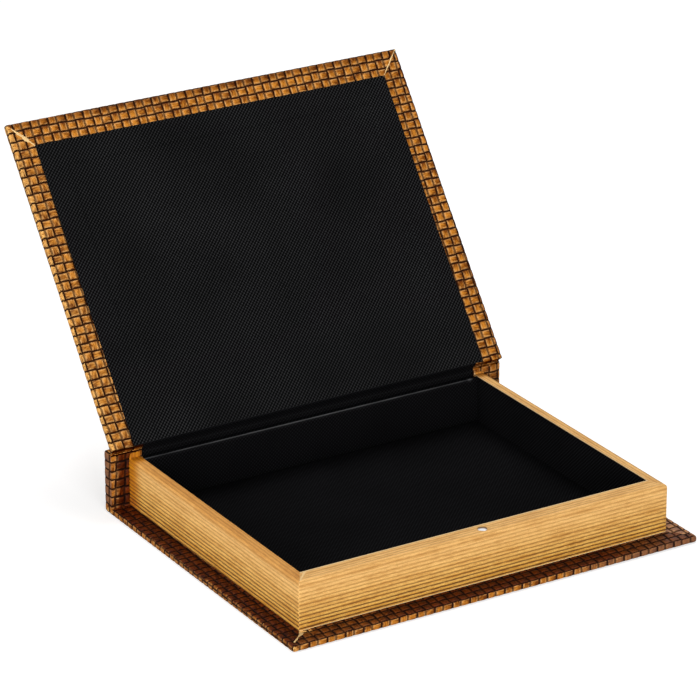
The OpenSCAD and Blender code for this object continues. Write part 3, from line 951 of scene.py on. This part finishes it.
def hingeCloths():
    # off the lid, over the fold, down the spine and on to the back wall; then over its edge to the floor
    thick = cloth["thick"]
    wallTop, wallFace = wallHigh[2] + thick, wallLow[1] - thick
    share = wallFace + cloth["share"]

    def foldHighlight(x, s, ends):
        # painted highlight: a faint streak across the cloth up the spine's face
        return 0.10 * np.exp(-((s - ends[3]) / 0.4) ** 2) * (0.5 + 0.5 * np.sin(x * 3.1))

    def hingeWearAndHighlight(x, s, ends):
        # the wall's edge is painted pale, a painted highlight where the cloth turns over it along with some wear,
        # most in the middle and at a right-hand spot; the foot frays in dots
        edge = np.exp(-((s - ends[1] - 0.1) / 0.45) ** 2) * smooth(x, 109, 100)
        edge = edge * (0.62 + 0.25 * np.cos(x / 45) + 0.12 * np.sin(x / 3.7))
        spot = np.exp(-((s - ends[1]) / 0.6) ** 2 - ((x - 107) / 1.2) ** 2)
        foot = np.exp(-((s - ends[2] + 0.9) / 0.5) ** 2) * smooth(x, 60, -20)
        dots = np.clip(np.sin(x * np.pi), 0, 1)
        return np.clip(edge + 1.6 * spot + foot * dots * 0.35, 0, 1)

    down = spineIn - thick
    knots = [swungKnot(lidBack - 0.6, lidIn - thick), swungKnot(lidBack + cover["lip"], lidIn - thick),
             (down - 0.2, foldZ), (down, clothHigh[2] - 1), (down, wallTop), (share, wallTop)]
    piece = runGrid("foldCloth", coverHalf - cover["endTurnIn"] + 0.2, knots, 0.6, None, [],
                    foldHighlight)
    blendAcross(piece, *fold["turn"])
    runGrid("hingeCloth", clothHigh[0], [(share, wallTop), (wallFace, wallTop), (wallFace, floorTop)], 0.5,
            "case", ["hinge_cloth"], hingeWearAndHighlight)


laidLining("floorLining", "floor_lining", 2, 1)
laidLining("frontLining", "front_lining", 1, 1)
laidLining("leftLining", "left_lining", 0, 1)
laidLining("rightLining", "right_lining", 0, -1)
lidPanel()
hingeCloths()
print("linings made")

# Page edges: paper pressed into ribs, rolled over the walls and mitred

pages = {
    "roll": 2.2,  # radius of the rolled top edge
    "corner": 1.0,  # radius of the upright corners
    "pitch": 2.27,  # mean spacing of the grooves
    "firstFront": 1.3,  # height of the first groove above the base
    "firstSide": 2.6,
    "depth": 0.36,
    "frontReach": frontHigh[1] - frontLow[1],  # how far in the paper goes over the walls
    "sideReach": leftHigh[0] - leftLow[0],
    "hole": 2.8,  # radius of the hole over the magnet, whose rim the paper laps
    "holeOff": (-0.2, 0.15),  # and how far off the magnet's middle it was cut
    "turnUp": {-1: 2.9, 1: 0.9},  # how far the left and right strips' back ends turn up on to the spine
    "back": 0.12,  # how far short of the spine they stay
}
sideRun = trayTop - coverT - pages["roll"]
rollRun = pages["roll"] * np.pi / 2


def pagePoint(s, depth):
    # inset and height at distance s up the side, round the roll and in across the top, sunk by a depth
    r = pages["roll"]
    angle = np.clip((s - sideRun) / rollRun, 0, 1) * np.pi / 2
    inset = np.where(s < sideRun, depth, r - (r - depth) * np.cos(angle))
    inset = np.where(s > sideRun + rollRun, r + s - sideRun - rollRun, inset)
    height = np.where(s < sideRun, coverT + s, trayTop - r + (r - depth) * np.sin(angle))
    return inset, height


def ribDepth(q, s):
    # grooves at whole numbers of q, deep low on the side and shallow on the top, with rounded ribs between
    index = np.round(q)
    off = np.abs(q - index)
    each = 0.8 + 0.2 * np.sin(index * 2.4 + 1.0)
    lower = 1 - 0.45 * np.clip(s / sideRun, 0, 1) - 0.25 * smooth(s, sideRun, sideRun + rollRun)
    return pages["depth"] * each * lower * (np.exp(-(off / 0.12) ** 2) + 0.3 * (1 - 2 * off) ** 2)


def openHole(points, faces):
    # the hole over the magnet: the quads inside it are dropped and its rim is drawn out to the circle
    centre = (magnetLow + magnetHigh)[:2] / 2 + pages["holeOff"]
    offset = points[:, :2] - centre
    away = np.linalg.norm(offset, axis=1)
    inside = (points[:, 2] > trayTop - 1) & (away < pages["hole"])
    faces = faces[~inside[faces].all(1)]
    rim = np.unique(faces[inside[faces].any(1)])
    rim = rim[inside[rim]]
    points[rim, :2] = centre + offset[rim] / away[rim, None] * pages["hole"]
    return faces


def pageShadeAndCuts(y, up, full, side):
    # painted shade at the back by the spine and, on the left, darker along the top; bare on the mitres, the cut
    # inner edges and the front strip's foot
    stainAndPaintedLight = 0 * y
    if side:
        stainAndPaintedLight = smooth(y, spineIn - 16, spineIn - 4) * (1.0 if side < 0 else 0.3)
        stainAndPaintedLight = np.maximum(stainAndPaintedLight, 0.8 * smooth(y, spineIn - 9, spineIn - 3))
    if side < 0:
        stainAndPaintedLight = np.maximum(stainAndPaintedLight, 0.55 * smooth(up, sideRun - 1, sideRun + rollRun))
    for row in (0,) if side else (0, -1):
        stainAndPaintedLight[row] = -0.15 - 0.5 * smooth(up[row], sideRun, sideRun + rollRun)
    if side >= 0:
        stainAndPaintedLight[up > full - 0.6] = -0.7
    if not side:
        stainAndPaintedLight[up < 0.4] = -0.6
    return stainAndPaintedLight.ravel()


def pageStrip(name, node, side):
    # the front strip, or the one at a side, worked out as places along it, insets from its face and heights
    front = not side
    reach, other = pages["frontReach"], pages["sideReach"]
    start, length = -halfLen, 2 * halfLen
    if side:
        reach, other = other, reach
        start, length = 0.0, spineIn - trayFront
    roll, r = pages["roll"], pages["corner"]
    full = sideRun + rollRun + reach - roll
    s = np.unique(np.concatenate([np.arange(0, full, 0.27), [full]]))
    if front:
        t = np.concatenate([np.arange(-118, -5, 2.0), np.arange(-5, 5.01, 0.25), np.arange(6, 118.1, 2.0)])
    else:
        t = np.concatenate([[2, 2.5, 3], np.arange(4, length - 3, 2.0),
                            length - np.array([3, 2, 1, 0.5, 0.12, 0, 0, 0])])
    along, up = np.meshgrid(t, s, indexing="ij")
    wander = 0.1 * np.sin(along * 0.041 + up * 0.9) + 0.05 * np.sin(along * 0.17 + up * 2.1)
    q = (up - pages["firstFront" if front else "firstSide"] + wander) / pages["pitch"]
    # how far in from the end the mitre lies: 45 degrees round the roll, then straight to the inner corner
    bare = pagePoint(s, 0 * s)[0]
    mitre = np.where(bare < roll, bare, roll + (bare - roll) * (other - roll) / (reach - roll))
    limit = np.maximum(mitre, r) + 0.6

    def cornerRows(place, way, grooves, distance):
        # rows from the straight stretch round a corner to the mitre, where the ribs die out
        turn = np.linspace(0, 1, 6)[:, None]
        inset, height = pagePoint(s[None, :], ribDepth(grooves, s)[None, :] * (1 - turn))
        bent = limit - (r - inset) * np.sin(turn * np.pi / 4) - turn * (limit - r)
        fromEnd = np.where(bare < r, bent, limit - turn * (limit - mitre))
        fromFace = np.where(bare < r, r - (r - inset) * np.cos(turn * np.pi / 4), inset)
        level = 0 * inset
        return place + way * fromEnd, fromFace, height, distance - way * 2 * turn + level, q[0] + level

    inset, height = pagePoint(up, ribDepth(q, up))
    stop = halfLen - limit if front else length
    strips = [[block[::-1] for block in cornerRows(start, 1, q[0], t[0])],
              [np.clip(along, start + limit, stop), inset, height, along, q]]
    if front:
        strips.append(cornerRows(halfLen, -1, q[-1], t[-1]))
    x, y, z, along, q = [np.concatenate(blocks) for blocks in zip(*strips)]
    rows, columns = x.shape
    up = np.tile(s, (rows, 1))
    if front:
        y = trayFront + y
    else:
        # the last rows climb the spine's face, from the rolled edge inwards
        climb = np.concatenate([np.zeros(rows - 4), [0.02, 0.08, 0.5, 1.0]])[:, None]
        z = z + pages["turnUp"][side] * climb * smooth(up, sideRun + 0.4, sideRun + rollRun * 0.7)
        x, y = side * (halfLen - y), trayFront + np.minimum(x, length - pages["back"])
    points = spots(x, y, z)
    faces = gridFaces(rows, columns)
    if side >= 0:
        faces = faces[:, ::-1]
    if front:
        faces = openHole(points, faces)
    uv = np.stack([along.ravel() + (300 if side else 0), q.ravel()], 1)
    makePiece(name, points, faces, uv, pagePaper, "case", [node], 0.01,
              pageShadeAndCuts(y, up, full, side))


paper = {
    # colours at the strips' foot and at their top, for the palest streaks, the darkest and the grooves; the foot's
    # are darker, partly painted shade
    "pale": ((1.0, 0.575, 0.115, 1), (0.95, 0.575, 0.205, 1)),
    "deep": ((0.58, 0.235, 0.014, 1), (0.60, 0.30, 0.074, 1)),
    "groove": ((0.10, 0.028, 0.001, 1), (0.32, 0.135, 0.023, 1)),
    "cut": (0.88, 0.70, 0.42, 1),  # bare cut edges and mitres
    "soakedAndShaded": (0.72, 0.45, 0.0, 1),  # what is left of each colour where the strips are darkened, with painted shade by the spine
}


def ribbedPaper():
    g = Graph("pagePaper")
    along, q = g.sheet()
    index = q.op("ROUND")
    off = abs(q - index)
    streak = g.noise(g.vector(along * 0.22, q * 5.0), 4.0, 0.6)
    speckle = g.noise(g.vector(along * 1.3, q * 9.0), 3.0, 0.7)
    wear = g.noise(g.vector(along * 0.05, q * 0.5), 3.0)
    row = g.random(g.vector(index, 3.0))
    # from the foot's colours to the top's; the foot's darker colours are partly painted shade low on the strips
    high = g.step(q, -1.0, 11.5)
    # each groove, and a finer crease beside some of them
    groove = 1 - g.step(off + (streak - 0.5) * 0.30, 0.06, 0.34)
    crease = 1 - g.step(abs(off - 0.36) + (speckle - 0.5) * 0.2, 0.0, 0.10)
    groove = groove.op("MAXIMUM", crease * g.step(streak + row * 0.2, 0.42, 0.62) * 0.7)
    tone = streak * 0.48 + speckle * 0.36 + wear * 0.34 + row * 0.14
    colour = g.blend(g.step(tone, 0.48, 0.82), g.blend(high, *paper["deep"]), g.blend(high, *paper["pale"]))
    colour = g.blend(groove * (1.0 - high * 0.5), colour, g.blend(high, *paper["groove"]))
    stainAndPaintedLight = g.stainAndPaintedLight()
    # darkened where marked: painted shade by the spine, and along the left strip's top
    colour = g.blend(stainAndPaintedLight.op("MAXIMUM", 0.0), colour, paper["soakedAndShaded"], "MULTIPLY")
    colour = g.blend((-stainAndPaintedLight).op("MAXIMUM", 0.0) * (0.5 + speckle * 0.6), colour, paper["cut"])
    return g.finish(colour, 0.62 + speckle * 0.1,
                    speckle * 0.4 + streak * 0.6 - groove * 0.6, 0.5, 0.0002, 0.3)


pagePaper = ribbedPaper()
pageStrip("frontPages", "front_page_edge", 0)
pageStrip("leftPages", "left_page_edge", -1)
pageStrip("rightPages", "right_page_edge", 1)
print("page edges made")

# Magnet, and the boards that stay as they are


def nickelPlate():
    g = Graph("nickelPlate")
    place = g.objectPlace()
    grain, cloud = g.noise(place, 3.0, scale=3000.0), g.noise(place, scale=400.0)
    colour = g.blend(cloud, (0.78, 0.78, 0.80, 1), (0.92, 0.91, 0.90, 1))
    return g.finish(colour, 0.22 + grain * 0.18, grain, 0.15, 0.00005, metal=1.0)


def magnetDisc(material):
    # a disc with a small round edge, its profile spun about the upright axis
    centre = (magnetLow + magnetHigh) / 2
    radius, top = (magnetHigh[0] - magnetLow[0]) / 2, magnetHigh[2]
    bend = np.linspace(0, np.pi / 2, 5)
    edge = 0.35
    profileR = np.concatenate([[0.0, radius * 0.5], radius - edge + edge * np.sin(bend), [radius]])
    profileZ = np.concatenate([[top, top], top - edge + edge * np.cos(bend), [magnetLow[2]]])
    turn = np.linspace(0, 2 * np.pi, 49)
    r, a = np.meshgrid(profileR, turn, indexing="ij")
    points = spots(centre[0] + r * np.cos(a), centre[1] + r * np.sin(a), profileZ[:, None])
    makePiece("magnetDisc", points, gridFaces(len(profileR), len(turn)), points[:, :2], material, "case",
              ["front_magnet"], weld=0.001)


finishes = {
    "greyboard": plainBoard("greyboard", (0.46, 0.42, 0.36, 1), (0.26, 0.23, 0.20, 1), 900.0),
    "fibreboard": plainBoard("fibreboard", (0.50, 0.33, 0.15, 1), (0.36, 0.21, 0.08, 1), 1200.0),
    "nickel": nickelPlate(),
}
magnetDisc(finishes["nickel"])
for part in frame["record"]["subparts"]:
    if part["material_slot"] in finishes:
        mesh = frame["nodes"][part["node"]].data
        mesh.materials.clear()
        mesh.materials.append(finishes[part["material_slot"]])
print("boards and magnet made")


def lookThrough(view):
    data = bpy.data.cameras.new("camera")
    data.lens = view["lens"]
    data.sensor_width = 36
    data.clip_end = 100
    camera = bpy.data.objects.new("camera", data)
    az, el = np.radians(view["azimuth"]), np.radians(view["elevation"])
    ahead = Vector((np.sin(az) * np.cos(el), np.cos(az) * np.cos(el), -np.sin(el)))
    turn = ahead.to_track_quat("-Z", "Y") @ Quaternion((0, 0, 1), np.radians(view["roll"]))
    camera.matrix_world = Matrix.Translation(Vector(view["place"]) * 0.001) @ turn.to_matrix().to_4x4()
    bpy.context.scene.collection.objects.link(camera)
    bpy.context.scene.camera = camera


lookThrough({"place": (-1132.14, -1802.59, 1000.0), "azimuth": 31.393, "elevation": 22.739, "roll": -0.016,
             "lens": 213.886})


def areaLight(name, place, towards, size, power):
    # a white rectangular light, placed in metres
    data = bpy.data.lights.new(name, "AREA")
    data.shape = "RECTANGLE"
    data.size, data.size_y = size
    data.energy = power
    light = bpy.data.objects.new(name, data)
    light.location = place
    light.rotation_euler = (Vector(towards) - Vector(place)).to_track_quat("-Z", "Y").to_euler()
    bpy.context.scene.collection.objects.link(light)


areaLight("keyLight", (-0.5, -2.0, 0.45), (0, 0, 0.06), (0.9, 0.6), 34.5)
areaLight("leftLight", (-1.9, 0.0, 0.7), (0, 0, 0.06), (0.9, 0.8), 22)
areaLight("backTopLight", (0.5, 0.6, 1.7), (0, 0, 0), (0.9, 0.9), 18)


def studio():
    # pale floor that keeps the shadow, and a surround that is white where seen and dimmer as a light
    g = Graph("paleFloor")
    camera = g.value("LightPath", key="Is Camera Ray")
    diffuse = g.value("BsdfDiffuse", {"Color": (0.6, 0.6, 0.6, 1)})
    glow = g.value("Emission", {"Color": (1, 1, 1, 1), "Strength": camera * 0.6})
    material = g.end("OutputMaterial", g.add("AddShader", {0: diffuse, 1: glow}))
    half = 15000.0
    points = np.array([[-half, -half, 0], [half, -half, 0], [-half, half, 0], [half, half, 0]])
    makePiece("floor", points, gridFaces(2, 2), points[:, :2], material)
    g = Graph("surround", bpy.data.worlds)
    camera, glossy = [g.value("LightPath", key=ray) for ray in ("Is Camera Ray", "Is Glossy Ray")]
    seen = camera.op("MAXIMUM", glossy)
    strength = g.value("MapRange", {"Value": seen, "To Min": 0.25, "To Max": 1.0})
    bpy.context.scene.world = g.end("OutputWorld", g.add("Background", {"Strength": strength}))


studio()
bpy.context.scene.view_settings.view_transform = "Standard"
